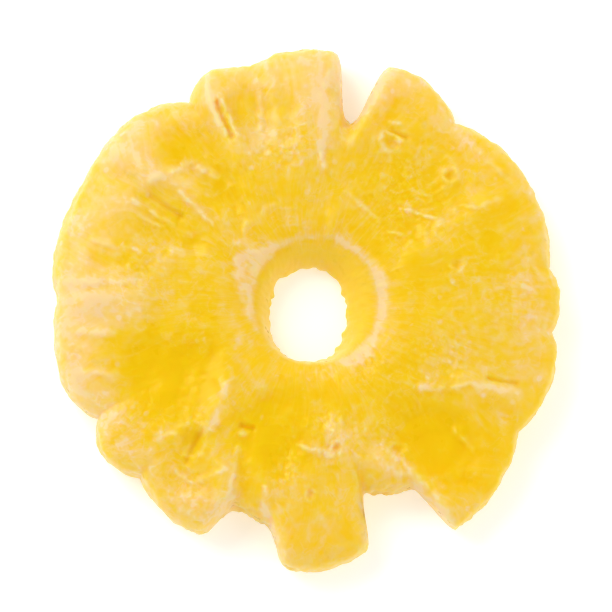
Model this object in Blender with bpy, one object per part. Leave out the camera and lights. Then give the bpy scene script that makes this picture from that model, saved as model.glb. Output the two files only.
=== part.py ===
"""Candied pineapple ring: one cored slice of peeled fruit, dried soft, lying on its flat underside.

The ring is one solid. It starts as a torus whose grid is laid onto the real shape: a lobed outline,
one lobe for each fruitlet that the peel was cut from, a core hole that narrows downwards, rounded
edges, and faces that dip in the flesh of the fruitlets and stand up along the walls between them.

Frame: +Z up, origin under the middle of the ring on the surface that it rests on, sizes in metres.
"""

import bpy
import numpy as np

MM = 0.001

# Driving sizes.
RING_RADIUS = 37.6 * MM
THICKNESS = 9.2 * MM
HOLE_TOP_SIZE = (18.4 * MM, 18.6 * MM)
HOLE_FOOT_SIZE = (9.6 * MM, 12.6 * MM)
HOLE_TOP_CENTRE = (1.3 * MM, 1.3 * MM)
HOLE_FOOT_CENTRE = (0.0 * MM, -0.4 * MM)

# How the section is rounded: the power of its superellipse, and how deep its underside is pressed flat.
EDGE_POWER = 4.6
FLATTENED = 0.2 * MM
# The outer wall leans in towards the top, by the second amount more where it leans most.
WALL_LEAN = (0.5 * MM, 1.6 * MM)
WALL_LEAN_TOWARDS = 160
# The top face sinks towards the middle by this much, and sways up and down by this much round the ring.
MIDDLE_DIP = 1.2 * MM
SWAY = 0.35 * MM

# The outline's lobes: (angle of the notch before it, notch radius, angle of its crest, crest radius),
# with angles in degrees from +X towards +Y and radii as shares of RING_RADIUS.
LOBES = (
    (10, 0.952, 33, 1.004),
    (52, 0.942, 67, 1.034),
    (77, 0.986, 88, 1.046),
    (103, 1.000, 112, 1.030),
    (119, 0.950, 134, 1.034),
    (149, 1.020, 163, 1.016),
    (176, 0.976, 194, 0.990),
    (207, 0.902, 215, 0.962),
    (225, 0.908, 240, 0.956),
    (249, 0.945, 270, 0.998),
    (286, 0.925, 306, 1.012),
    (330, 0.934, 347, 0.982),
    (355, 0.946, 363, 0.982),
)
# Below 1 the notches are cut sharp and the crests stay round.
LOBE_SHARPNESS = 0.75
# Where the flesh tore further in between two lobes: (angle, half width in degrees, radius share lost,
# squareness, from 2 for a soft V to 12 for a slot).
TEARS = (
    (77.5, 4.1, 0.22, 4),
    (255, 8.2, 0.155, 5),
    (294.3, 8.7, 0.215, 12),
)

# The sunken flesh of the fruitlets on the top face: (angle, radius share, half width in degrees,
# half length share, depth).
POCKETS = (
    (47, 0.66, 15, 0.20, 0.8 * MM),
    (64, 0.80, 5, 0.10, 0.5 * MM),
    (106, 0.79, 5, 0.11, 0.8 * MM),
    (125, 0.69, 6, 0.21, 1.0 * MM),
    (150, 0.60, 6, 0.12, 0.6 * MM),
    (207, 0.59, 14, 0.18, 0.9 * MM),
    (234, 0.72, 7, 0.13, 0.9 * MM),
    (254, 0.50, 13, 0.15, 0.7 * MM),
    (314, 0.69, 10, 0.18, 1.2 * MM),
)
# The walls between them: a line of (angle, radius share) points, its half width and its height.
WALLS = (
    (((31, 0.62), (30, 0.90)), 1.7 * MM, 0.4 * MM),
    (((75, 0.68), (71, 0.98)), 1.7 * MM, 0.5 * MM),
    (((88, 0.58), (88, 0.98)), 3.4 * MM, 0.5 * MM),
    (((114, 0.64), (113, 0.98)), 1.6 * MM, 0.5 * MM),
    (((133, 0.62), (139, 0.80), (140, 0.97)), 2.0 * MM, 0.6 * MM),
    (((177, 0.64), (178, 0.95)), 3.2 * MM, 0.4 * MM),
    (((224, 0.42), (232, 0.60), (247, 0.78)), 1.7 * MM, 0.6 * MM),
    (((250, 0.58), (260, 0.80), (264, 0.97)), 1.7 * MM, 0.5 * MM),
    (((284, 0.48), (290, 0.60), (302, 0.74), (304, 0.95)), 2.0 * MM, 0.6 * MM),
    (((335, 0.66), (336, 0.92)), 1.8 * MM, 0.5 * MM),
)

# Mesh density: steps round the ring and round its section.
STEPS_ROUND = 176
STEPS_SECTION = 28

FLESH_COLOUR = (0.92, 0.59, 0.05, 1.0)


def clear_scene():
    """Removes the objects that the scene starts with."""
    for item in list(bpy.data.objects):
        bpy.data.objects.remove(item, do_unlink=True)


def outline_radius(angle):
    """Radius of the outline at each angle.

    It runs from the notch to the crest of each lobe, and back, along a quarter sine. A tear then takes
    away its share, by a bell curve that is squarer at a higher power.
    """
    knots = np.array([(a, r) for lobe in LOBES for a, r in (lobe[:2], lobe[2:])])
    at = np.mod(np.degrees(angle) - knots[0, 0], 360.0) + knots[0, 0]
    starts = np.append(knots[:, 0], knots[0, 0] + 360.0)
    shares = np.append(knots[:, 1], knots[0, 1])
    step = np.clip(np.searchsorted(starts, at, side="right") - 1, 0, len(knots) - 1)
    along = (at - starts[step]) / (starts[step + 1] - starts[step])
    rising = step % 2 == 0
    climb = np.sin(np.where(rising, along, 1 - along) * np.pi / 2) ** LOBE_SHARPNESS
    low = np.where(rising, shares[step], shares[step + 1])
    high = np.where(rising, shares[step + 1], shares[step])
    share = low + (high - low) * climb
    for centre, half_width, lost, squareness in TEARS:
        off = np.mod(np.degrees(angle) - centre + 180, 360) - 180
        share = share - lost * np.exp(-(np.abs(off / half_width) ** squareness))
    return RING_RADIUS * share


def hole_wall(angle, height):
    """Points of the core hole's wall at a height from 0, the foot, to 1, the top.

    Each level is an ellipse. Its size and centre run from the foot's to the top's, slowly at first.
    """
    share = height**1.4
    levels = []
    for axis, turn in enumerate((np.cos(angle), np.sin(angle))):
        size = HOLE_FOOT_SIZE[axis] + (HOLE_TOP_SIZE[axis] - HOLE_FOOT_SIZE[axis]) * share
        centre = HOLE_FOOT_CENTRE[axis] + (HOLE_TOP_CENTRE[axis] - HOLE_FOOT_CENTRE[axis]) * share
        levels.append(centre + size / 2 * turn)
    return levels


def rounded_section(turn):
    """Place in the section at each share of a turn: (0 at the hole to 1 at the rim, 0 foot to 1 top).

    A superellipse as wide and high as the section, with its points spread evenly along its length.
    """
    dense = np.linspace(0, 2 * np.pi, 2001)
    power = 2 / EDGE_POWER
    across = np.sign(np.cos(dense)) * np.abs(np.cos(dense)) ** power
    up = np.sign(np.sin(dense)) * np.abs(np.sin(dense)) ** power
    width = RING_RADIUS - HOLE_TOP_SIZE[0] / 2
    lengths = np.hypot(np.diff(across) * width, np.diff(up) * THICKNESS)
    reached = np.insert(np.cumsum(lengths), 0, 0.0) / lengths.sum()
    place = np.mod(turn, 1.0)
    return (np.interp(place, reached, across) + 1) / 2, (np.interp(place, reached, up) + 1) / 2


def pocket_depth(angle, share):
    """Depth of the sunken flesh at an angle and a share of the radius: a round dip for each pocket."""
    depth = np.zeros_like(angle)
    for centre, middle, half_width, half_length, deepest in POCKETS:
        off = np.mod(np.degrees(angle) - centre + 180, 360) - 180
        away = np.hypot(off / half_width, (share - middle) / half_length)
        depth = np.maximum(depth, deepest * np.exp(-(away**4) / 2))
    return depth


def wall_height(x, y):
    """Height of the walls between fruitlets: a soft ridge on each line's nearest point."""
    height = np.zeros_like(x)
    for line, half_width, top in WALLS:
        turns = np.radians([point[0] for point in line])
        radii = RING_RADIUS * np.array([point[1] for point in line])
        px, py = radii * np.cos(turns), radii * np.sin(turns)
        nearest = np.full_like(x, np.inf)
        for ax, ay, bx, by in zip(px[:-1], py[:-1], px[1:], py[1:]):
            dx, dy = bx - ax, by - ay
            along = np.clip(((x - ax) * dx + (y - ay) * dy) / (dx * dx + dy * dy), 0, 1)
            nearest = np.minimum(nearest, np.hypot(x - ax - along * dx, y - ay - along * dy))
        height = np.maximum(height, top * np.exp(-((nearest / half_width) ** 2)))
    return height


def lay_on_ring(points):
    """Moves the points of a torus of radius 2 and section radius 1 onto the pineapple ring."""
    x, y, z = points.T
    angle = np.arctan2(y, x)
    turn = np.arctan2(z, np.hypot(x, y) - 2) / (2 * np.pi)
    across, up = rounded_section(turn)

    hole_x, hole_y = hole_wall(angle, up)
    leaning = (1 + np.cos(angle - np.radians(WALL_LEAN_TOWARDS))) / 2
    rim = outline_radius(angle) - (WALL_LEAN[0] + WALL_LEAN[1] * leaning) * up**2
    ring_x = hole_x + (rim * np.cos(angle) - hole_x) * across
    ring_y = hole_y + (rim * np.sin(angle) - hole_y) * across

    share = np.hypot(ring_x, ring_y) / RING_RADIUS
    relief = wall_height(ring_x, ring_y) - pocket_depth(np.arctan2(ring_y, ring_x), share)
    sway = SWAY * (np.cos(2 * angle - 1.1) + np.cos(3 * angle + 0.6)) * share
    height = (THICKNESS + sway - MIDDLE_DIP * (1 - share) ** 2) * up + relief * up**3
    return np.stack([ring_x, ring_y, np.maximum(height - FLATTENED, 0)], axis=1)


def centre_on_origin(points):
    """Puts the middle of the bounding box over the origin, and its underside at height 0."""
    low, high = points.min(axis=0), points.max(axis=0)
    middle = (low + high) / 2
    return points - np.array([middle[0], middle[1], low[2]])


def flesh_material():
    """Soft, moist, golden flesh."""
    material = bpy.data.materials.new("candied_flesh")
    material.use_nodes = True
    shader = material.node_tree.nodes["Principled BSDF"]
    shader.inputs["Base Color"].default_value = FLESH_COLOUR
    shader.inputs["Roughness"].default_value = 0.38
    shader.inputs["Metallic"].default_value = 0.0
    return material


def build_ring(collection):
    """The ring as one closed mesh, shaded smooth."""
    bpy.ops.mesh.primitive_torus_add(
        major_segments=STEPS_ROUND, minor_segments=STEPS_SECTION, major_radius=2, minor_radius=1
    )
    ring = bpy.context.object
    ring.name = "pineapple_ring"
    mesh = ring.data
    mesh.name = ring.name
    flat = np.empty(len(mesh.vertices) * 3)
    mesh.vertices.foreach_get("co", flat)
    shaped = centre_on_origin(lay_on_ring(flat.reshape(-1, 3)))
    mesh.vertices.foreach_set("co", shaped.ravel())
    mesh.update()
    mesh.shade_smooth()
    mesh.materials.append(flesh_material())
    for home in list(ring.users_collection):
        home.objects.unlink(ring)
    collection.objects.link(ring)
    return ring


def main():
    clear_scene()
    collection = bpy.data.collections.new("Pineapple ring")
    bpy.context.scene.collection.children.link(collection)
    build_ring(collection)


main()
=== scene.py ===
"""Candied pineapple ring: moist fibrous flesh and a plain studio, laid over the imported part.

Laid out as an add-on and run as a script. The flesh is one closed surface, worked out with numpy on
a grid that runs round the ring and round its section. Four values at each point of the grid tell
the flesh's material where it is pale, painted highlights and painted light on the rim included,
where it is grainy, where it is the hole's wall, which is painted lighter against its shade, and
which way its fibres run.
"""

import itertools

import bpy
import numpy as np
from bpy.props import FloatProperty, FloatVectorProperty, IntProperty, PointerProperty
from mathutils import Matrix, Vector


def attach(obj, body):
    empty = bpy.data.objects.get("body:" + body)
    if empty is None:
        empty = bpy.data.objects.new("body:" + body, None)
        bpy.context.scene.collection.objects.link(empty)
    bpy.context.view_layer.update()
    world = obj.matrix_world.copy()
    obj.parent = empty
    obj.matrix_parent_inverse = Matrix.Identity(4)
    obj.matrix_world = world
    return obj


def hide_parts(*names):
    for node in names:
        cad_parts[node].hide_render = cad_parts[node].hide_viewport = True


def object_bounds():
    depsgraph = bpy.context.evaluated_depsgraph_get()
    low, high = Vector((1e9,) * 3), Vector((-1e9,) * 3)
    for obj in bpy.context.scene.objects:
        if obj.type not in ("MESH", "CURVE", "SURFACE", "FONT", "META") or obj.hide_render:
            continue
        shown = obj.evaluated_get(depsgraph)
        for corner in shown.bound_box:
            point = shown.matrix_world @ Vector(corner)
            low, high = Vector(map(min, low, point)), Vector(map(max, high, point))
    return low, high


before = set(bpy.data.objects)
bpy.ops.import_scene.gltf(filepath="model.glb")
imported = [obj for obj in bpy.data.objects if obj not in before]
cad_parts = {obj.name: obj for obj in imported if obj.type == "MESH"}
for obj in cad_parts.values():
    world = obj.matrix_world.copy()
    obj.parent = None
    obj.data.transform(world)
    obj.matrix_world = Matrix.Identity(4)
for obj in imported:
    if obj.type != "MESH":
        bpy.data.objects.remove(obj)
CAD_LOW, CAD_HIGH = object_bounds()

bl_info = {
    "name": "Candied pineapple ring",
    "version": (1, 0, 0),
    "blender": (4, 5, 0),
    "location": "3D Viewport > Sidebar > Pineapple",
    "description": "Builds the flesh and studio of a candied pineapple ring",
    "category": "Add Mesh",
}

MM = 0.001
NODE = "pineapple_ring"
BODY = "root"

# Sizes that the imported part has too.
RING_RADIUS = 37.6 * MM
THICKNESS = 9.2 * MM
HOLE_TOP_SIZE = (18.4 * MM, 18.6 * MM)
HOLE_FOOT_SIZE = (9.6 * MM, 12.6 * MM)
HOLE_TOP_CENTRE = (1.3 * MM, 1.3 * MM)
HOLE_FOOT_CENTRE = (0.0 * MM, -0.4 * MM)
EDGE_POWER = 4.6
FLATTENED = 0.2 * MM
WALL_LEAN = (0.5 * MM, 1.6 * MM)
WALL_LEAN_TOWARDS = 160
MIDDLE_DIP = 1.2 * MM
SWAY = 0.35 * MM
LOBE_SHARPNESS = 0.75

# Sizes of the finish. EDGE_RADIUS rounds the edges, UNDER_HOLLOW is the deepest hollow underneath and
# TOP_EASE is the last bit of height, in which the relief is eased off so that it stays in the part.
EDGE_RADIUS = 2.2 * MM
UNDER_HOLLOW = 0.35 * MM
TOP_EASE = 0.35 * MM
COLLAR_RISE = 0.22 * MM
# A cavity's pit is PIT_DEPTH deep, and less where its lip is lower than FULL_PIT_LIP.
PIT_DEPTH = 0.5 * MM
FULL_PIT_LIP = 0.3 * MM
CURL_LIP_WIDTH = 0.34 * MM
# How pale the hole's wall is, and the side of the rim, in degrees, that gets the most painted light.
HOLE_PALLOR = 0.36
PAINTED_LIGHT_SIDE = 150

# The outline's lobes: (angle of the notch before it, notch radius, angle of its crest, crest radius),
# with angles in degrees from +X towards +Y and radii as shares of RING_RADIUS.
LOBES = (
    (10, 0.952, 33, 1.004),
    (52, 0.942, 67, 1.034),
    (77, 0.986, 88, 1.046),
    (103, 1.000, 112, 1.030),
    (119, 0.950, 134, 1.034),
    (149, 1.020, 163, 1.016),
    (176, 0.976, 194, 0.990),
    (207, 0.902, 215, 0.962),
    (225, 0.908, 240, 0.956),
    (249, 0.945, 270, 0.998),
    (286, 0.925, 306, 1.012),
    (330, 0.934, 347, 0.982),
    (355, 0.946, 363, 0.982),
)
# Where the flesh tore further in: (angle, half width in degrees, radius share lost, squareness).
TEARS = (
    (77.5, 4.1, 0.22, 4),
    (255, 8.2, 0.155, 5),
    (294.3, 8.7, 0.215, 12),
)
# Sunken flesh of the fruitlets: (angle, radius share, half width in degrees, half length share, depth).
POCKETS = (
    (47, 0.66, 15, 0.20, 0.8 * MM),
    (64, 0.80, 5, 0.10, 0.5 * MM),
    (106, 0.79, 5, 0.11, 0.8 * MM),
    (125, 0.69, 6, 0.21, 1.0 * MM),
    (150, 0.60, 6, 0.12, 0.6 * MM),
    (207, 0.59, 14, 0.18, 0.9 * MM),
    (234, 0.72, 7, 0.13, 0.9 * MM),
    (254, 0.50, 13, 0.15, 0.7 * MM),
    (314, 0.69, 10, 0.18, 1.2 * MM),
)
# Walls between fruitlets: a line of (angle, radius share) points, its half width and its height.
WALLS = (
    (((31, 0.62), (30, 0.90)), 1.7 * MM, 0.4 * MM),
    (((75, 0.68), (71, 0.98)), 1.7 * MM, 0.5 * MM),
    (((88, 0.58), (88, 0.98)), 3.4 * MM, 0.5 * MM),
    (((114, 0.64), (113, 0.98)), 1.6 * MM, 0.5 * MM),
    (((133, 0.62), (139, 0.80), (140, 0.97)), 2.0 * MM, 0.6 * MM),
    (((177, 0.64), (178, 0.95)), 3.2 * MM, 0.4 * MM),
    (((224, 0.42), (232, 0.60), (247, 0.78)), 1.7 * MM, 0.6 * MM),
    (((250, 0.58), (260, 0.80), (264, 0.97)), 1.7 * MM, 0.5 * MM),
    (((284, 0.48), (290, 0.60), (302, 0.74), (304, 0.95)), 2.0 * MM, 0.6 * MM),
    (((335, 0.66), (336, 0.92)), 1.8 * MM, 0.5 * MM),
)
# Seed cavities cut open, each a low curled lip round a pit: (angle, radius share, lip radius, height).
CURLS = (
    (62.9, 0.724, 1.4 * MM, 0.36 * MM),
    (47.9, 0.716, 3.5 * MM, 0.16 * MM),
    (43.3, 0.752, 1.0 * MM, 0.34 * MM),
    (16.4, 0.597, 0.9 * MM, 0.20 * MM),
    (229.0, 0.665, 2.4 * MM, 0.22 * MM),
    (271.2, 0.705, 0.8 * MM, 0.34 * MM),
    (302.6, 0.640, 1.1 * MM, 0.24 * MM),
    (282.0, 0.545, 1.0 * MM, 0.24 * MM),
)
# Thin raised creases: a line of (angle, radius share) points, its half width and its height.
CREASES = (
    (((112.7, 0.99), (115.2, 0.88), (115.0, 0.74)), 0.45 * MM, 0.45 * MM),
    (((112.0, 0.87), (111.4, 0.72)), 0.35 * MM, 0.35 * MM),
    (((148.0, 0.78), (147.2, 0.54)), 0.35 * MM, 0.35 * MM),
    (((151.0, 0.74), (150.0, 0.62)), 0.30 * MM, 0.25 * MM),
    (((137.4, 0.65), (137.9, 0.50)), 0.40 * MM, 0.35 * MM),
    (((142.0, 0.80), (128.0, 0.72), (124.0, 0.62)), 0.60 * MM, 0.30 * MM),
    (((136.8, 0.36), (127.0, 0.395), (113.7, 0.415), (104.6, 0.41)), 0.40 * MM, 0.22 * MM),
    (((101.6, 0.93), (104.2, 0.72)), 0.40 * MM, 0.25 * MM),
    (((85.0, 0.92), (84.0, 0.56)), 0.50 * MM, 0.35 * MM),
    (((65.5, 0.79), (62.5, 0.80)), 0.40 * MM, 0.40 * MM),
    (((71.5, 0.48), (62.0, 0.45), (51.6, 0.44)), 0.35 * MM, 0.30 * MM),
    (((44.2, 0.54), (36.5, 0.60)), 0.40 * MM, 0.30 * MM),
    (((44.0, 0.435), (36.1, 0.48)), 0.35 * MM, 0.28 * MM),
    (((33.6, 0.69), (30.2, 0.79), (29.5, 0.86)), 0.40 * MM, 0.30 * MM),
    (((47.0, 0.90), (39.4, 0.90), (31.0, 0.93)), 0.45 * MM, 0.25 * MM),
    (((12.3, 0.87), (9.0, 0.89)), 0.40 * MM, 0.28 * MM),
    (((6.5, 0.80), (5.0, 0.86)), 0.40 * MM, 0.28 * MM),
    (((324.6, 0.54), (334.6, 0.68), (337.9, 0.86)), 0.50 * MM, 0.38 * MM),
    (((320.4, 0.73), (319.7, 0.83)), 0.38 * MM, 0.32 * MM),
    (((297.0, 0.70), (304.5, 0.80), (304.0, 0.93)), 0.70 * MM, 0.35 * MM),
    (((269.0, 0.53), (278.0, 0.56)), 0.45 * MM, 0.38 * MM),
    (((225.2, 0.42), (228.5, 0.50), (231.5, 0.59)), 0.60 * MM, 0.42 * MM),
    (((243.0, 0.59), (248.7, 0.77)), 0.55 * MM, 0.35 * MM),
    (((229.8, 0.80), (236.7, 0.79), (240.3, 0.75), (243.9, 0.68)), 0.35 * MM, 0.30 * MM),
    (((245.0, 0.535), (242.0, 0.54)), 0.45 * MM, 0.45 * MM),
    (((256.4, 0.70), (259.8, 0.82), (262.5, 0.90)), 0.50 * MM, 0.35 * MM),
    (((173.5, 0.92), (171.0, 0.66)), 0.60 * MM, 0.25 * MM),
    (((186.0, 0.93), (187.0, 0.74)), 0.50 * MM, 0.25 * MM),
    (((196.0, 0.92), (199.0, 0.76)), 0.50 * MM, 0.22 * MM),
    (((162.0, 0.86), (161.0, 0.68)), 0.45 * MM, 0.22 * MM),
    (((126.0, 0.390), (113.7, 0.405), (104.6, 0.40), (94, 0.385)), 0.30 * MM, 0.14 * MM),
    (((302.5, 0.69), (301.4, 0.78), (302.6, 0.87)), 0.45 * MM, 0.38 * MM),
)
# Narrow slits: a line of (angle, radius share) points, its half width and its depth.
SLITS = (
    (((113.6, 0.87), (113.4, 0.73)), 0.45 * MM, 0.90 * MM),
    (((338.6, 0.74), (340.0, 0.85)), 0.30 * MM, 0.50 * MM),
    (((144.0, 0.74), (143.2, 0.60)), 0.50 * MM, 0.50 * MM),
    (((64.0, 0.765), (60.0, 0.77)), 0.35 * MM, 0.50 * MM),
    (((241.5, 0.51), (246.0, 0.50)), 0.40 * MM, 0.60 * MM),
    (((232.0, 0.74), (230.0, 0.62)), 0.45 * MM, 0.50 * MM),
)
# Width of the pale collar round the top of the hole, at each angle in degrees.
# Its paleness is partly a painted highlight on the hole's rounded top edge.
COLLAR = (
    (-180, 1.3 * MM),
    (-160, 0.8 * MM),
    (-145, 0.3 * MM),
    (-66, 0.3 * MM),
    (-54, 2.0 * MM),
    (-42, 3.0 * MM),
    (-28, 2.0 * MM),
    (-5, 1.4 * MM),
    (15, 1.8 * MM),
    (35, 1.5 * MM),
    (60, 0.9 * MM),
    (90, 0.9 * MM),
    (108, 1.1 * MM),
    (120, 1.7 * MM),
    (132, 3.0 * MM),
    (144, 4.1 * MM),
    (154, 3.7 * MM),
    (165, 2.6 * MM),
    (175, 1.7 * MM),
    (180, 1.3 * MM),
)
# Where the flesh is full of small pale grains: (angle, radius share, half width in degrees, half
# length share).
GRAINY = (
    (50, 0.58, 22, 0.16),
    (2, 0.78, 12, 0.14),
    (284, 0.52, 16, 0.12),
    (300, 0.60, 8, 0.12),
    (215, 0.84, 12, 0.16),
    (240, 0.84, 14, 0.12),
    (318, 0.30, 16, 0.08),
    (165, 0.62, 16, 0.14),
    (100, 0.62, 16, 0.10),
    (340, 0.55, 14, 0.16),
    (262, 0.62, 8, 0.14),
)
# Broad pale or golden zones: (angle, radius share, half width in degrees, half length share, pallor).
ZONES = (
    (165, 0.94, 34, 0.18, 0.20),
    (195, 0.98, 12, 0.14, 0.26),
    (137, 0.94, 14, 0.10, 0.12),
    (132, 0.68, 6, 0.06, 0.30),
    (88, 0.82, 9, 0.22, 0.20),
    (102, 0.95, 8, 0.10, 0.16),
    (72, 0.93, 4, 0.12, 0.20),
    (55, 0.92, 10, 0.08, 0.16),
    (222, 0.90, 18, 0.10, 0.22),
    (240, 0.86, 12, 0.10, 0.16),
    (205, 0.86, 8, 0.08, 0.14),
    (345, 0.80, 12, 0.12, 0.08),
    (17, 0.78, 10, 0.14, -0.12),
    (128.5, 0.76, 5, 0.06, -0.30),
    (204, 0.58, 20, 0.20, -0.24),
    (255, 0.52, 20, 0.16, -0.28),
    (255, 0.86, 8, 0.10, -0.16),
    (311, 0.68, 10, 0.13, -0.34),
    (122, 0.55, 10, 0.10, -0.14),
    (45, 0.64, 16, 0.14, -0.12),
    (28, 0.44, 26, 0.10, -0.14),
    (180, 0.40, 26, 0.06, -0.14),
    (300, 0.38, 30, 0.06, -0.12),
    (212, 0.42, 10, 0.12, -0.14),
    (322, 0.42, 14, 0.12, -0.17),
    (105, 0.70, 6, 0.10, 0.18),
    (182, 0.74, 7, 0.10, 0.25),
    (210, 0.66, 7, 0.06, -0.18),
    (22, 0.77, 12, 0.06, -0.13),
    (308, 0.78, 12, 0.06, -0.14),
    (225, 0.93, 26, 0.09, -0.26),
    (325, 0.97, 16, 0.06, -0.26),
    (90, 0.68, 5, 0.07, -0.18),
    (165, 0.70, 6, 0.06, -0.16),
    (211, 0.60, 9, 0.12, -0.14),
    (182, 0.80, 6, 0.08, 0.12),
    (105, 0.72, 5, 0.10, 0.12),
    (30, 0.88, 7, 0.06, -0.14),
    (315, 0.84, 10, 0.06, -0.12),
    (333, 0.97, 9, 0.06, -0.25),
    (213, 0.65, 9, 0.09, -0.12),
    (201, 0.94, 5, 0.06, 0.22),
    (295, 0.64, 8, 0.06, 0.12),
    (166, 0.72, 6, 0.05, -0.10),
    (75, 0.74, 5, 0.08, -0.12),
    (255, 0.66, 5, 0.06, -0.12),
    (270, 0.45, 8, 0.06, -0.14),
    (245, 0.74, 6, 0.06, -0.10),
    (322, 0.36, 12, 0.06, -0.12),
    (185, 0.80, 6, 0.07, 0.14),
    (107, 0.68, 5, 0.07, 0.12),
    (150, 0.78, 5, 0.05, 0.12),
    (150, 0.97, 7, 0.05, -0.16),
    (0, 0.97, 12, 0.05, -0.14),
    (210, 0.60, 8, 0.10, -0.14),
    (322, 0.77, 12, 0.05, -0.16),
    (28, 0.77, 9, 0.05, -0.14),
    (18, 0.64, 7, 0.08, -0.13),
    (90, 0.66, 5, 0.07, -0.16),
    (330, 0.92, 8, 0.07, -0.22),
    (222, 0.95, 14, 0.06, -0.16),
    (255, 0.56, 7, 0.06, -0.12),
    (180, 0.66, 6, 0.05, 0.14),
    (60, 0.86, 6, 0.05, -0.12),
    (305, 0.86, 8, 0.05, -0.16),
    (198, 0.28, 34, 0.045, 0.20),
    (15, 0.29, 28, 0.045, 0.20),
    (240, 0.66, 6, 0.05, 0.15),
    (166, 0.66, 5, 0.05, -0.13),
    (90, 0.66, 5, 0.05, -0.12),
    (331, 0.65, 7, 0.06, -0.12),
    (30, 0.87, 6, 0.05, -0.13),
    (333, 0.96, 8, 0.05, -0.16),
)


# ---------------------------------------------------------------- noise
# Nothing is drawn at random: each noise has a seed, the whole number in its call, and the same seed
# gives the same noise at the same place.


def corner_value(cell, seed):
    """A fixed number from -1 to 1 for each whole-number corner, by mixing its three counts and a seed."""
    mixed = (cell[..., 0] * 73856093) ^ (cell[..., 1] * 19349663) ^ (cell[..., 2] * 83492791)
    mixed = (mixed ^ (seed * 2654435761)) & 0xFFFFFFFF
    mixed = ((mixed ^ (mixed >> 15)) * 739982445) & 0xFFFFFFFF
    mixed = ((mixed ^ (mixed >> 12)) * 695872825) & 0xFFFFFFFF
    return ((mixed ^ (mixed >> 15)) & 0xFFFF) / 32767.5 - 1


def soft_noise(points, seed):
    """Noise from about -1 to 1: a fixed slope at each corner of a unit lattice, blended smoothly."""
    cell = np.floor(points).astype(np.int64)
    part = points - cell
    ease = part**3 * (part * (part * 6 - 15) + 10)
    total = np.zeros(points.shape[:-1])
    for corner in itertools.product((0, 1), repeat=3):
        at = cell + np.array(corner)
        weight = np.prod(np.where(corner, ease, 1 - ease), axis=-1)
        slopes = [corner_value(at, seed + axis) for axis in range(3)]
        reach = [part[..., axis] - corner[axis] for axis in range(3)]
        total += weight * sum(slope * step for slope, step in zip(slopes, reach))
    return 1.5 * total


def cloud(points, seed, octaves=3):
    """Soft noise with finer noise on it, each octave twice as fine and half as strong."""
    return sum(soft_noise(points * 2**k + 9.7 * k, seed + 10 * k) / 2**k for k in range(octaves))


def threads(points, seed):
    """Thin crests, from 0 to 1, along the lines where soft noise passes through 0."""
    return np.clip(1 - 3.2 * np.abs(soft_noise(points, seed)), 0, 1) ** 2


def bump_curve(value):
    """A bell: 1 where the value is 0, falling off smoothly each way."""
    return np.exp(-(value**2))


# ---------------------------------------------------------------- shape of the ring


def turn_off(angle, centre):
    """Degrees from a direction to each angle, from -180 to 180."""
    return np.mod(np.degrees(angle) - centre + 180, 360) - 180


def outline_radius(angle):
    """Radius of the outline: a quarter sine from notch to crest of each lobe and back, less the tears.

    A tear takes away its share of the radius by a bell curve that is squarer at a higher power.
    """
    knots = np.array([(a, r) for lobe in LOBES for a, r in (lobe[:2], lobe[2:])])
    at = np.mod(np.degrees(angle) - knots[0, 0], 360.0) + knots[0, 0]
    starts = np.append(knots[:, 0], knots[0, 0] + 360.0)
    shares = np.append(knots[:, 1], knots[0, 1])
    step = np.clip(np.searchsorted(starts, at, side="right") - 1, 0, len(knots) - 1)
    along = (at - starts[step]) / (starts[step + 1] - starts[step])
    rising = step % 2 == 0
    climb = np.sin(np.where(rising, along, 1 - along) * np.pi / 2) ** LOBE_SHARPNESS
    low = np.where(rising, shares[step], shares[step + 1])
    high = np.where(rising, shares[step + 1], shares[step])
    share = low + (high - low) * climb
    for centre, half_width, lost, squareness in TEARS:
        away = np.abs(turn_off(angle, centre) / half_width)
        share = share - lost * np.exp(-(away**squareness))
    return RING_RADIUS * share


def torn_share(angle):
    """How torn the rim is, from 0 to 1 in the middle of a tear, with a margin on its lips."""
    away = [np.abs(turn_off(angle, tear[0]) / (tear[1] * 1.5)) for tear in TEARS]
    return np.exp(-(np.minimum.reduce(away) ** 4))


def hole_wall(angle, height):
    """Points of the hole's wall at a height from 0, the foot, to 1, the top.

    Each level is an oval: an ellipse at the top, and a little squarer towards the foot.
    """
    share = height**1.4
    squarer = 1 - 0.22 * (1 - share)
    levels = []
    for axis, turn in enumerate((np.cos(angle), np.sin(angle))):
        turn = np.sign(turn) * np.abs(turn) ** squarer
        size = HOLE_FOOT_SIZE[axis] + (HOLE_TOP_SIZE[axis] - HOLE_FOOT_SIZE[axis]) * share
        centre = HOLE_FOOT_CENTRE[axis] + (HOLE_TOP_CENTRE[axis] - HOLE_FOOT_CENTRE[axis]) * share
        levels.append(centre + size / 2 * turn)
    return levels


def even_turns(steps):
    """Angles of the grid's columns, spaced evenly along the outline, so that tears get columns too."""
    dense = np.linspace(0, 2 * np.pi, 12 * steps + 1)
    radius = outline_radius(dense)
    length = np.hypot(np.diff(radius * np.cos(dense)), np.diff(radius * np.sin(dense)))
    length = length + 0.35 * RING_RADIUS * np.diff(dense)
    reached = np.insert(np.cumsum(length), 0, 0.0) / length.sum()
    return np.interp(np.arange(steps) / steps, reached, dense)


def section_stops(steps):
    """(across, up) of the section's points, each from 0 to 1: a superellipse from the rim over the top.

    The points stand closest on the top face and furthest apart on the underside.
    """
    dense = np.linspace(0, 2 * np.pi, 6001)
    power = 2 / EDGE_POWER
    across = np.sign(np.cos(dense)) * np.abs(np.cos(dense)) ** power
    up = np.sign(np.sin(dense)) * np.abs(np.sin(dense)) ** power
    width = RING_RADIUS - HOLE_TOP_SIZE[0] / 2
    length = np.hypot(np.diff(across) * width, np.diff(up) * THICKNESS)
    closeness = 0.22 + 0.78 * ((up[1:] + 1) / 2) ** 2
    reached = np.insert(np.cumsum(length * closeness), 0, 0.0) / (length * closeness).sum()
    stops = np.arange(steps) / steps
    return (np.interp(stops, reached, across) + 1) / 2, (np.interp(stops, reached, up) + 1) / 2


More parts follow.
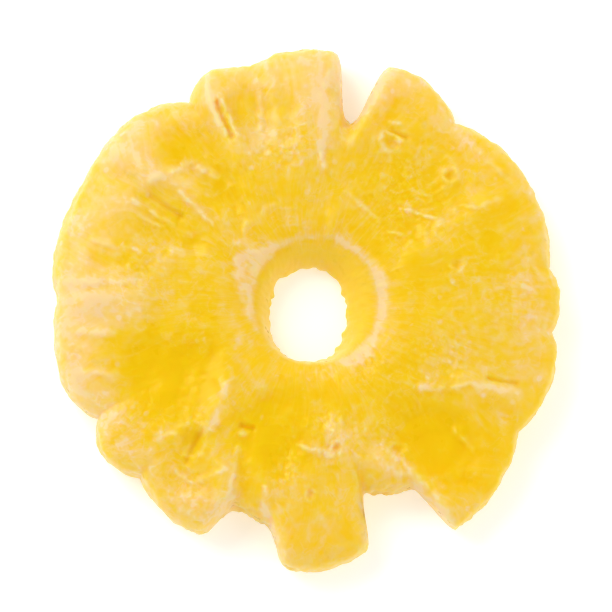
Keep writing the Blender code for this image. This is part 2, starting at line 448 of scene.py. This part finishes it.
def rounding(distance, radius):
    """How far a round edge of that radius has dropped at a distance from the edge."""
    inside = np.clip(radius - distance, 0, radius)
    return radius - np.sqrt(radius**2 - inside**2)


def edge_distance(x, y, rim):
    """Distance from each grid point to the outline, among the outline's points within reach of it."""
    rim_x, rim_y = rim
    reach = 32
    nearest = np.full_like(x, np.inf)
    for step in range(-reach, reach + 1):
        away = np.hypot(x - np.roll(rim_x, step)[:, None], y - np.roll(rim_y, step)[:, None])
        nearest = np.minimum(nearest, away)
    return nearest


# ---------------------------------------------------------------- relief and pallor of the flesh


def round_patch(x, y, patch):
    """1 in the middle of an (angle, radius share, half width, half length) patch, 0 outside it."""
    angle, share = np.arctan2(y, x), np.hypot(x, y) / RING_RADIUS
    away = np.hypot(turn_off(angle, patch[0]) / patch[2], (share - patch[1]) / patch[3])
    return np.exp(-(away**4) / 2)


def soft_patch(x, y, patch):
    """The same with a bell's soft edge."""
    angle, share = np.arctan2(y, x), np.hypot(x, y) / RING_RADIUS
    return bump_curve(np.hypot(turn_off(angle, patch[0]) / patch[2], (share - patch[1]) / patch[3]))


def line_distance(x, y, line):
    """Distance to the nearest point of a line of (angle, radius share) points."""
    turns = np.radians([point[0] for point in line])
    radii = RING_RADIUS * np.array([point[1] for point in line])
    px, py = radii * np.cos(turns), radii * np.sin(turns)
    nearest = np.full_like(x, np.inf)
    for ax, ay, bx, by in zip(px[:-1], py[:-1], px[1:], py[1:]):
        dx, dy = bx - ax, by - ay
        along = np.clip(((x - ax) * dx + (y - ay) * dy) / (dx * dx + dy * dy), 0, 1)
        nearest = np.minimum(nearest, np.hypot(x - ax - along * dx, y - ay - along * dy))
    return nearest


def flow(x, y, fine, long):
    """Coordinates for noise drawn out along the fibres.

    The fibres run out from the core and wander a little. The first two coordinates are the direction
    times the fineness, the third is the radius over the length of a fibre's bends.
    """
    place = np.stack([x, y, np.zeros_like(x)], axis=-1)
    angle = np.arctan2(y, x) + 0.10 * soft_noise(place / (8 * MM), 3)
    radius = np.hypot(x, y)
    return np.stack([np.cos(angle) * fine, np.sin(angle) * fine, radius / long], axis=-1)


def grains(points, seed):
    """Round lumps, from 0 to 1: one in each unit cell, at its own place and of its own size."""
    cell = np.floor(points).astype(np.int64)
    highest = np.zeros(points.shape[:-1])
    for step in itertools.product((-1, 0, 1), repeat=2):
        at = cell + np.array([*step, 0])
        at[..., 2] = 0
        centre = [at[..., axis] + 0.5 + 0.42 * corner_value(at, seed + axis) for axis in (0, 1)]
        size = 0.42 + 0.20 * corner_value(at, seed + 2)
        height = 0.7 + 0.3 * corner_value(at, seed + 3)
        away = np.hypot(points[..., 0] - centre[0], points[..., 1] - centre[1]) / size
        highest = np.maximum(highest, np.clip(1 - away**2, 0, 1) * height)
    return highest


def lines_height(x, y, lines):
    """Height of (line, half width, height) marks: for each a bell of the distance to the line."""
    highest = np.zeros_like(x)
    for line, half_width, height in lines:
        highest = np.maximum(highest, height * bump_curve(line_distance(x, y, line) / half_width))
    return highest


def curls_relief(x, y, bend, ragged):
    """Height of the seed cavities' lips, and how far inside a pit each place is, from 0 to 1.

    A lip is a bell of the distance to a circle, and a pit is a bell of the distance to its centre.
    """
    lip = np.zeros_like(x)
    pit = np.zeros_like(x)
    for angle, share, radius, height in CURLS:
        turn, out = np.radians(angle), RING_RADIUS * share
        away = np.hypot(x - out * np.cos(turn), y - out * np.sin(turn))
        rise = bump_curve((away + 1.1 * bend - radius) / CURL_LIP_WIDTH) * ragged
        lip = np.maximum(lip, height * rise)
        deep = np.minimum(height / FULL_PIT_LIP, 1)
        pit = np.maximum(pit, bump_curve(away / (0.7 * radius)) * deep)
    return lip, pit


def collar_and_highlight_share(x, y, bend, place):
    """How much of the pale collar (partly painted highlight) is left at each place round the hole, from 0
    to 1.1.

    It runs out from the hole's top edge over the width that COLLAR gives for the angle, with soft
    edges both ways, and two sizes of noise wear holes in it.
    """
    angle = np.degrees(np.arctan2(y, x))
    width = np.interp(angle, *np.array(COLLAR).T) + 0.9 * bend
    past_edge = gap_to_hole(x, y) + 0.15 * bend
    collar = np.clip((width - past_edge) / (1.0 * MM), 0, 1) * np.clip(past_edge / (0.5 * MM) + 1, 0, 1)
    collar *= np.clip(width / (0.5 * MM) - 0.4, 0, 1)
    worn = 0.72 + 0.55 * soft_noise(place / 1.3, 84) + 0.35 * soft_noise(place / 0.7, 85)
    return collar * np.clip(worn, 0, 1.1)


def face_features(x, y):
    """Relief, pallor and graininess of the top face at each place, before its edges are rounded off.

    The relief adds the walls, creases, lips, collar, grains and three sizes of noise, and takes away
    the pockets, slits and pits. The pallor follows it: high places are pale and sunken ones golden.
    """
    place = np.stack([x, y, np.zeros_like(x)], axis=-1) / MM
    bend = 0.7 * MM * soft_noise(place / 3.0, 71) + 0.25 * MM * soft_noise(place / 0.9, 72)
    sunken = np.zeros_like(x)
    pocket = np.zeros_like(x)
    for patch in POCKETS:
        inside = round_patch(x + bend, y - bend, patch)
        sunken = np.maximum(sunken, patch[4] * inside)
        pocket = np.maximum(pocket, inside)
    ridge = np.zeros_like(x)
    crest = np.zeros_like(x)
    for line, half_width, top in WALLS:
        near = bump_curve((line_distance(x, y, line) + bend) / half_width)
        ridge = np.maximum(ridge, top * near)
        crest = np.maximum(crest, near)
    broken = np.clip(0.80 + 1.2 * soft_noise(place / 1.4, 73), 0.15, 1)
    crease = broken * lines_height(x + bend, y - 0.8 * bend, CREASES)
    slit = lines_height(x + 0.3 * bend, y, SLITS)
    ragged = np.clip(0.62 + 1.3 * soft_noise(place / 1.1, 86), 0.1, 1)
    lip, pit = curls_relief(x, y, bend, ragged)
    collar = collar_and_highlight_share(x, y, bend, place)
    grainy = np.clip(0.5 * cloud(place / 7.0, 74, 2) + 0.12, 0, 1)
    for patch in GRAINY:
        grainy = np.maximum(grainy, soft_patch(x + bend, y, patch))
    lumps = grainy * np.maximum(grains(place / 1.05, 81), 0.8 * grains(place / 0.62, 91))

    wander = place / 2.4 + 0.5 * np.stack([soft_noise(place / 2.0, k) for k in (75, 76, 77)], axis=-1)
    crinkle = threads(wander, 78) * np.clip(0.35 + 1.2 * soft_noise(place / 4.5, 79), 0, 1)
    strand = threads(flow(x, y, 14, 6 * MM), 21) * np.clip(0.3 + soft_noise(place / 5.0, 80), 0, 1)
    crag = cloud(place / 2.4, 31, 3)
    lump = cloud(place / 5.5, 41, 2)

    relief = ridge - sunken - slit + crease + lip - PIT_DEPTH * pit + COLLAR_RISE * collar
    relief += MM * (0.17 * lumps + 0.06 * crinkle + 0.04 * strand)
    relief += MM * (0.05 + 0.05 * pocket) * crag + 0.26 * MM * lump

    share = np.hypot(x, y) / RING_RADIUS
    pallor = 0.26 + 0.16 * np.clip((share - 0.55) / 0.45, 0, 1)
    for zone in ZONES:
        pallor = pallor + zone[4] * soft_patch(x + bend, y - bend, zone)
    pallor += 0.16 * crest - 0.16 * pocket - 0.10 * pit - 0.25 * np.minimum(slit / (0.5 * MM), 1)
    # The collar's paleness is partly a painted highlight on the hole's rounded top edge.
    pallor += 0.60 * np.minimum((crease + lip) / (0.38 * MM), 1) + 0.86 * collar
    # The grains' pale tops are partly painted glints.
    pallor += 0.40 * lumps + 0.28 * crinkle + 0.24 * strand + 0.08 * crag + 0.08 * lump
    return relief, pallor, grainy


def flesh_grid(steps_round, steps_section):
    """Points, pallor, graininess and share of the hole's wall, on a grid of columns by stops.

    Columns run round the ring and stops round its section. Each column's section is a superellipse
    between the hole's wall and the outline. The top carries the face's relief, the rim is ragged, the
    hole's wall is fluted with nubs at its foot, and every edge is rounded, also in tears.
    """
    turns = even_turns(steps_round)
    stops, heights = section_stops(steps_section)
    angle, across = np.meshgrid(turns, stops, indexing="ij")
    up = np.broadcast_to(heights, angle.shape)

    hole_x, hole_y = hole_wall(angle, up)
    leaning = (1 + np.cos(angle - np.radians(WALL_LEAN_TOWARDS))) / 2
    rim = outline_radius(angle) - (WALL_LEAN[0] + WALL_LEAN[1] * leaning) * up**2
    x = hole_x + (rim * np.cos(angle) - hole_x) * across
    y = hole_y + (rim * np.sin(angle) - hole_y) * across
    share = np.hypot(x, y) / RING_RADIUS
    sway = SWAY * (np.cos(2 * angle - 1.1) + np.cos(3 * angle + 0.6)) * share
    z = (THICKNESS + sway - MIDDLE_DIP * (1 - share) ** 2) * up

    edge = outline_radius(turns)
    gap = edge_distance(x, y, (edge * np.cos(turns), edge * np.sin(turns)))
    plain_gap = np.maximum(edge[:, None] - np.hypot(x, y), 0)
    side = rounding(gap, EDGE_RADIUS) - rounding(plain_gap, EDGE_RADIUS)
    side = np.clip(side, 0, None) * np.clip(across * 4 - 2, 0, 1)
    z = z - side * up**2 + 0.6 * side * (1 - up) ** 2

    relief, pallor, grainy = face_features(x, y)
    z = z + relief * up**3

    # The middle of the bounding box moves over the origin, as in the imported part.
    middle_x, middle_y = (x.min() + x.max()) / 2, (y.min() + y.max()) / 2
    place = np.stack([x, y, z], axis=-1) / MM
    torn = torn_share(angle)
    at_rim = across**10
    ragged = 0.30 * cloud(place / 3.0, 61, 2) + (0.14 + 0.26 * torn) * cloud(place / 1.1, 62, 2)
    at_hole = (1 - across) ** 10
    foot = np.clip(1.4 - up * 4, 0, 1)
    nubs = np.abs(soft_noise(place / np.array([1.9, 1.9, 1.6]), 63)) - 0.15
    fluted = 0.12 * cloud(place / np.array([1.2, 1.2, 4.0]), 65, 2)
    fluted += foot * (0.45 * cloud(place / np.array([2.6, 2.6, 9.0]), 66, 2) - 2.2 * nubs)
    push = MM * (at_rim * ragged + at_hole * fluted)
    x = x + push * np.cos(angle) - middle_x
    y = y + push * np.sin(angle) - middle_y

    under = np.clip(1 - up * 3, 0, 1) * np.clip(cloud(place / 4.0, 64, 2), 0, 1)
    z = np.maximum(z - FLATTENED, 0) + UNDER_HOLLOW * under
    top = CAD_HIGH.z - TOP_EASE
    z = np.where(z > top, top + TOP_EASE * np.tanh((z - top) / TOP_EASE), z)

    # Painted light on the rim: its edge is paler, as light through thin flesh would make it, and most so
    # on the side towards the key light. Torn lips are paler too.
    lit_side = (1 + np.cos(angle - np.radians(PAINTED_LIGHT_SIDE))) / 2
    rim_pallor_and_painted_light = (0.10 + 0.22 * lit_side) * bump_curve(gap / (1.2 * MM))
    rim_pallor_and_painted_light += (0.02 + 0.10 * lit_side) * bump_curve(gap / (6 * MM))
    rim_pallor_and_painted_light += 0.28 * torn * bump_curve(gap / (1.1 * MM))
    rim_pallor_and_painted_light *= 0.35 + 0.65 * np.clip(up * 1.6 - 0.4, 0, 1)
    on_top = np.clip(up * 3 - 2, 0, 1)
    # Painted highlight: a thin pale line just outside the hole's top edge, on the top face.
    hole_edge_highlight = bump_curve((gap_to_hole(x + middle_x, y + middle_y) - 0.3 * MM) / (0.9 * MM))
    pallor = pallor + rim_pallor_and_painted_light + 0.06 * hole_edge_highlight * on_top
    in_hole = np.clip(1 - across * 25, 0, 1) * np.clip((0.93 - up) * 5, 0, 1)
    pallor = pallor * (1 - in_hole) + HOLE_PALLOR * in_hole
    wall = np.clip(across * 30 - 29, 0, 1)
    pallor = pallor * (1 - 0.45 * wall) + wall * (0.12 + 0.10 * ragged)
    return np.stack([x, y, z], axis=-1), np.clip(pallor, -0.2, 1.2), grainy, in_hole


def gap_to_hole(x, y):
    """Distance outwards from the hole's top edge, taking the edge as an ellipse scaled to each place."""
    dx, dy = x - HOLE_TOP_CENTRE[0], y - HOLE_TOP_CENTRE[1]
    scale = np.hypot(dx / (HOLE_TOP_SIZE[0] / 2), dy / (HOLE_TOP_SIZE[1] / 2))
    return np.hypot(dx, dy) * (1 - 1 / np.maximum(scale, 0.1))


# ---------------------------------------------------------------- meshes


def new_object(name, points, faces, material):
    """An object at the origin from an array of points and an array of faces, shaded smooth."""
    mesh = bpy.data.meshes.new(name)
    mesh.from_pydata(points.reshape(-1, 3).tolist(), [], faces.tolist())
    mesh.validate()
    mesh.shade_smooth()
    mesh.materials.append(material)
    piece = bpy.data.objects.new(name, mesh)
    bpy.context.scene.collection.objects.link(piece)
    return piece


def closed_grid_faces(columns, stops):
    """Quads of a grid that closes on itself both ways, facing outwards."""
    corner = np.arange(columns * stops).reshape(columns, stops)
    beyond = np.roll(corner, -1, axis=0)
    quads = [corner, beyond, np.roll(beyond, -1, axis=1), np.roll(corner, -1, axis=1)]
    return np.stack(quads, axis=-1).reshape(-1, 4)


# ---------------------------------------------------------------- materials


def add_node(tree, kind, inputs=None, **values):
    """A new node with its settings and the values or links of its inputs."""
    made = tree.nodes.new(kind)
    for name, value in values.items():
        setattr(made, name, value)
    for key, value in (inputs or {}).items():
        if isinstance(value, bpy.types.NodeSocket):
            tree.links.new(value, made.inputs[key])
        else:
            made.inputs[key].default_value = value
    return made


def maths(tree, operation, first, second=0.0, clamp=False):
    """The output of a Math node."""
    made = add_node(tree, "ShaderNodeMath", {0: first, 1: second}, operation=operation)
    made.use_clamp = clamp
    return made.outputs[0]


def noise_value(tree, vector, scale, detail=2.0, roughness=0.5):
    """The output of a Noise Texture, about 0.5 on average."""
    inputs = {"Vector": vector, "Scale": scale, "Detail": detail, "Roughness": roughness}
    return add_node(tree, "ShaderNodeTexNoise", inputs).outputs["Fac"]


def colour_ramp(tree, factor, stops):
    """The output of a Color Ramp with (place, colour) stops."""
    ramp = add_node(tree, "ShaderNodeValToRGB", {"Fac": factor})
    elements = ramp.color_ramp.elements
    for place, colour in stops[1:-1]:
        elements.new(place)
    for element, (place, colour) in zip(elements, stops):
        element.position = place
        element.color = (*colour, 1.0)
    return ramp.outputs["Color"]


def attribute_output(tree, name, output="Fac"):
    """One output of the flesh's attribute of that name."""
    return add_node(tree, "ShaderNodeAttribute", attribute_name=name).outputs[output]


def map_range(tree, value, low, high, to_low, to_high):
    """The value's range from low to high spread over the second range, and held at its ends."""
    inputs = {"Value": value, "From Min": low, "From Max": high, "To Min": to_low, "To Max": to_high}
    return add_node(tree, "ShaderNodeMapRange", inputs).outputs[0]


def moist_flesh_shader(material):
    """The material's Principled shader, set for moist flesh that light passes into."""
    material.use_nodes = True
    shader = material.node_tree.nodes["Principled BSDF"]
    shader.inputs["IOR"].default_value = 1.42
    shader.inputs["Specular IOR Level"].default_value = 0.4
    shader.inputs["Specular Tint"].default_value = (1.0, 0.80, 0.22, 1.0)
    shader.inputs["Subsurface Weight"].default_value = 0.95
    shader.inputs["Subsurface Radius"].default_value = (1.0, 0.62, 0.10)
    shader.inputs["Subsurface Scale"].default_value = 4.0 * MM
    shader.inputs["Coat Weight"].default_value = 0.11
    shader.inputs["Coat Roughness"].default_value = 0.14
    shader.inputs["Coat IOR"].default_value = 1.4
    return shader


def crinkle_lines(tree, place, grainy, scale, strength):
    """Thin pale lines where distorted noise passes its middle, in patches and wherever it is grainy."""
    inputs = {"Vector": place, "Scale": scale, "Detail": 2.0, "Roughness": 0.5, "Distortion": 0.6}
    wave = add_node(tree, "ShaderNodeTexNoise", inputs).outputs["Fac"]
    off = maths(tree, "ABSOLUTE", maths(tree, "SUBTRACT", wave, 0.5))
    line = map_range(tree, off, 0.08, 0.0, 0.0, strength)
    patch = map_range(tree, noise_value(tree, place, 0.45 * scale, 1.0), 0.50, 0.62, 0.0, 0.8)
    where = maths(tree, "ADD", patch, maths(tree, "MULTIPLY", grainy, 0.5), clamp=True)
    return maths(tree, "MULTIPLY", line, where)


def pale_specks(tree, place, grainy, scale, reach, strength):
    """Small round specks in Voronoi cells, in few cells at first and in more where it is grainy."""
    cells = add_node(tree, "ShaderNodeTexVoronoi", {"Vector": place, "Scale": scale})
    speck = map_range(tree, cells.outputs["Distance"], reach, 0.5 * reach, 0.0, strength)
    chance = add_node(tree, "ShaderNodeSeparateColor", {"Color": cells.outputs["Color"]}).outputs[0]
    share = maths(tree, "MULTIPLY_ADD", grainy, 0.45)
    share.node.inputs[2].default_value = 0.08
    return maths(tree, "MULTIPLY", speck, maths(tree, "LESS_THAN", chance, share))


def flesh_material(settings):
    """Golden where sunken, pale along walls, fibres and edges, with mottling, flecks and a moist gloss."""
    material = bpy.data.materials.new("candied_flesh")
    shader = moist_flesh_shader(material)
    tree = material.node_tree
    place = add_node(tree, "ShaderNodeTexCoord").outputs["Object"]
    fibre_flow = attribute_output(tree, "fibre_flow", "Vector")
    grainy = attribute_output(tree, "grainy")

    level = attribute_output(tree, "pallor")
    for noise, strength in (
        (noise_value(tree, place, 780.0, 1.5, 0.45), settings.mottling),
        (noise_value(tree, place, 300.0, 2.0, 0.5), 0.5 * settings.mottling),
        (noise_value(tree, fibre_flow, 1.0, 3.0, 0.55), settings.streaks),
    ):
        part = maths(tree, "MULTIPLY", maths(tree, "SUBTRACT", noise, 0.5), strength)
        level = maths(tree, "ADD", level, part)
    for scale, strength in ((330.0, 0.26), (600.0, 0.22)):
        level = maths(tree, "ADD", level, crinkle_lines(tree, place, grainy, scale, strength))
    specks = pale_specks(tree, place, grainy, scale=480.0, reach=0.26, strength=0.36)
    level = maths(tree, "ADD", level, specks)

    # The pale end of the ramp also carries the rim's painted light, the collar's painted highlight and
    # painted glints on the grains.
    stops = (
        (0.0, settings.deep_colour),
        (0.25, settings.golden_colour),
        (0.50, settings.light_colour),
        (0.84, settings.pale_colour),
        (1.0, settings.palest_colour),
    )
    mixed = add_node(tree, "ShaderNodeMix", data_type="RGBA")
    # Painted light: the hole's wall is mixed towards a lighter, yellower colour, to make up for the shade
    # inside the hole.
    in_hole = maths(tree, "MULTIPLY", attribute_output(tree, "in_hole"), 0.75)
    tree.links.new(in_hole, mixed.inputs["Factor"])
    tree.links.new(colour_ramp(tree, level, stops), mixed.inputs["A"])
    mixed.inputs["B"].default_value = (*settings.hole_wall_painted_light_colour, 1.0)
    tree.links.new(mixed.outputs["Result"], shader.inputs["Base Color"])

    smooth, dull = settings.gloss_roughness * 0.75, settings.gloss_roughness * 1.3
    gloss = map_range(tree, noise_value(tree, place, 500.0, 3.0), 0.3, 0.7, smooth, dull)
    tree.links.new(gloss, shader.inputs["Roughness"])

    grain = maths(tree, "ADD", noise_value(tree, place, 1800.0, 3.0, 0.6), level)
    relief = {"Strength": 0.12, "Distance": 0.22 * MM, "Height": grain}
    bump = add_node(tree, "ShaderNodeBump", relief)
    tree.links.new(bump.outputs["Normal"], shader.inputs["Normal"])
    return material


# ---------------------------------------------------------------- settings


class FleshSettings(bpy.types.PropertyGroup):
    """Mesh density, colours and finish of the flesh."""

    steps_round: IntProperty(
        name="Columns", description="Grid columns round the ring", default=640, min=60, max=640
    )
    steps_section: IntProperty(
        name="Stops", description="Grid points round the section", default=155, min=24, max=155
    )
    deep_colour: FloatVectorProperty(
        name="Deep", description="Colour of sunken flesh", subtype="COLOR",
        default=(0.905, 0.592, 0.001), min=0, max=1,
    )
    golden_colour: FloatVectorProperty(
        name="Golden", description="Colour of most of the face", subtype="COLOR",
        default=(0.910, 0.610, 0.016), min=0, max=1,
    )
    light_colour: FloatVectorProperty(
        name="Light", description="Colour of walls and fibres", subtype="COLOR",
        default=(0.910, 0.624, 0.078), min=0, max=1,
    )
    pale_colour: FloatVectorProperty(
        name="Pale", description="Colour of the rim and thin edges", subtype="COLOR",
        default=(0.908, 0.650, 0.225), min=0, max=1,
    )
    # Painted light: lighter and yellower than the flesh, to make up for the shade in the hole.
    hole_wall_painted_light_colour: FloatVectorProperty(
        name="Hole wall", description="Colour of the hole's wall", subtype="COLOR",
        default=(0.960, 0.700, 0.070), min=0, max=1,
    )
    # Also the colour of the painted glints on the grains' tops.
    palest_colour: FloatVectorProperty(
        name="Palest", description="Colour of the whitest grains", subtype="COLOR",
        default=(0.905, 0.680, 0.350), min=0, max=1,
    )
    mottling: FloatProperty(
        name="Mottling", description="Strength of fine colour changes", default=0.62, min=0, max=3
    )
    streaks: FloatProperty(
        name="Streaks", description="Strength of colour changes along fibres", default=0.7, min=0, max=1
    )
    gloss_roughness: FloatProperty(
        name="Gloss roughness", description="Roughness of the moist surface", default=0.34, min=0.05, max=1
    )


class StageSettings(bpy.types.PropertyGroup):
    """Camera, light and floor."""

    elevation: FloatProperty(
        name="Elevation", description="Camera's angle above the horizon", subtype="ANGLE",
        default=float(np.radians(82)),
    )
    lens: FloatProperty(name="Lens", description="Focal length", default=150.0, min=20, max=300)
    seen_width: FloatProperty(
        name="Width in view", description="Width that the frame takes in at the ring",
        default=88.6 * MM, unit="LENGTH",
    )
    floor_colour: FloatVectorProperty(
        name="Floor", description="Colour of the floor", subtype="COLOR",
        default=(0.93, 0.93, 0.93), min=0, max=1,
    )
    floor_glow: FloatProperty(name="Floor glow", description="Light from under the floor", default=0.34)
    sky: FloatProperty(name="Sky", description="Brightness of the room near the horizon", default=0.78)
    overhead: FloatProperty(name="Overhead", description="Brightness straight above", default=0.42)
    key_power: FloatProperty(
        name="Key light", description="Power of the large soft light", default=3.8, unit="POWER"
    )


# ---------------------------------------------------------------- operators


class PINEAPPLE_OT_flesh(bpy.types.Operator):
    """Build the ring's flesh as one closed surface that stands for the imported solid"""

    bl_idname = "pineapple.flesh"
    bl_label = "Flesh"

    def execute(self, context):
        settings = context.scene.pineapple_flesh
        points, pallor, grainy, in_hole = flesh_grid(settings.steps_round, settings.steps_section)
        faces = closed_grid_faces(*pallor.shape)
        piece = new_object("ring_flesh", points, faces, flesh_material(settings))
        mesh = piece.data
        for name, values in (("pallor", pallor), ("grainy", grainy), ("in_hole", in_hole)):
            attribute = mesh.attributes.new(name, "FLOAT", "POINT")
            attribute.data.foreach_set("value", values.ravel().astype(np.float32))
        drawn_out = flow(points[..., 0], points[..., 1], 30, 5 * MM)
        drawn_out[..., 2] += points[..., 2] / (1.2 * MM)
        along = mesh.attributes.new("fibre_flow", "FLOAT_VECTOR", "POINT")
        along.data.foreach_set("vector", drawn_out.ravel().astype(np.float32))
        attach(piece, BODY)
        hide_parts(NODE)
        return {"FINISHED"}


def soft_light(name, power, place):
    """A square area light, half a metre wide, that shines from a place towards the origin."""
    light = bpy.data.lights.new(name, "AREA")
    light.energy = power
    light.size = 0.5
    lamp = bpy.data.objects.new(name, light)
    lamp.location = place
    lamp.rotation_euler = (-Vector(place)).to_track_quat("-Z", "Y").to_euler()
    bpy.context.scene.collection.objects.link(lamp)


class PINEAPPLE_OT_stage(bpy.types.Operator):
    """Set the floor, the soft studio light and the camera"""

    bl_idname = "pineapple.stage"
    bl_label = "Stage"

    def execute(self, context):
        scene = context.scene
        settings = scene.pineapple_stage
        self.make_floor(settings)
        self.make_room(scene, settings)
        soft_light("key", settings.key_power, (-0.42, 0.40, 0.62))
        soft_light("fill", settings.key_power * 0.3, (0.55, -0.25, 0.45))
        self.make_camera(scene, settings)
        scene.view_settings.view_transform = "Standard"
        return {"FINISHED"}

    def make_floor(self, settings):
        """A flat floor just under the ring, far wider than any view."""
        half = 30.0
        corners = np.array([(-half, -half, 0), (half, -half, 0), (half, half, 0), (-half, half, 0)])
        material = bpy.data.materials.new("pale_floor")
        material.use_nodes = True
        shader = material.node_tree.nodes["Principled BSDF"]
        shader.inputs["Base Color"].default_value = (*settings.floor_colour, 1.0)
        shader.inputs["Roughness"].default_value = 0.7
        shader.inputs["Emission Color"].default_value = (1.0, 1.0, 1.0, 1.0)
        shader.inputs["Emission Strength"].default_value = settings.floor_glow
        floor = new_object("floor", corners, np.array([[0, 1, 2, 3]]), material)

    def make_room(self, scene, settings):
        """A room that is bright near the horizon and dimmer straight above."""
        world = bpy.data.worlds.new("room")
        world.use_nodes = True
        tree = world.node_tree
        direction = add_node(tree, "ShaderNodeTexCoord").outputs["Generated"]
        height = add_node(tree, "ShaderNodeSeparateXYZ", {"Vector": direction}).outputs["Z"]
        strength = map_range(tree, height, 0.25, 1.0, settings.sky, settings.overhead)
        background = tree.nodes["Background"]
        background.inputs["Color"].default_value = (1, 1, 1, 1)
        tree.links.new(strength, background.inputs["Strength"])
        scene.world = world

    def make_camera(self, scene, settings):
        """The camera looks at the ring's middle from the front, nearly straight down."""
        middle = (CAD_LOW + CAD_HIGH) / 2
        camera = bpy.data.cameras.new("camera")
        camera.lens = settings.lens
        camera.sensor_width = 36.0
        camera.clip_start = 0.01
        distance = settings.seen_width / camera.sensor_width * camera.lens
        rise = settings.elevation
        back = Vector((0.0, -np.cos(rise), np.sin(rise)))
        viewer = bpy.data.objects.new("camera", camera)
        viewer.location = middle + back * distance
        viewer.rotation_euler = (-back).to_track_quat("-Z", "Y").to_euler()
        scene.collection.objects.link(viewer)
        scene.camera = viewer


class PINEAPPLE_PT_panel(bpy.types.Panel):
    """Lists the pieces and their settings"""

    bl_idname = "PINEAPPLE_PT_panel"
    bl_label = "Pineapple ring"
    bl_space_type = "VIEW_3D"
    bl_region_type = "UI"
    bl_category = "Pineapple"

    def draw(self, context):
        scene = context.scene
        for settings in (scene.pineapple_flesh, scene.pineapple_stage):
            box = self.layout.box()
            for name in settings.__annotations__:
                box.prop(settings, name)
        for operator in OPERATORS:
            self.layout.operator(operator.bl_idname)


OPERATORS = (
    PINEAPPLE_OT_flesh,
    PINEAPPLE_OT_stage,
)
SETTINGS = {
    "pineapple_flesh": FleshSettings,
    "pineapple_stage": StageSettings,
}


def register():
    """Adds the settings, the operators and the panel to Blender."""
    for kind in (*SETTINGS.values(), *OPERATORS, PINEAPPLE_PT_panel):
        bpy.utils.register_class(kind)
    for name, kind in SETTINGS.items():
        setattr(bpy.types.Scene, name, PointerProperty(type=kind))


def unregister():
    """Takes them out again, in the opposite order."""
    for name in SETTINGS:
        delattr(bpy.types.Scene, name)
    for kind in (PINEAPPLE_PT_panel, *reversed(OPERATORS), *reversed(SETTINGS.values())):
        bpy.utils.unregister_class(kind)


def main():
    """Builds every piece in order."""
    register()
    bpy.ops.pineapple.flesh()
    bpy.ops.pineapple.stage()


if __name__ == "__main__":
    main()
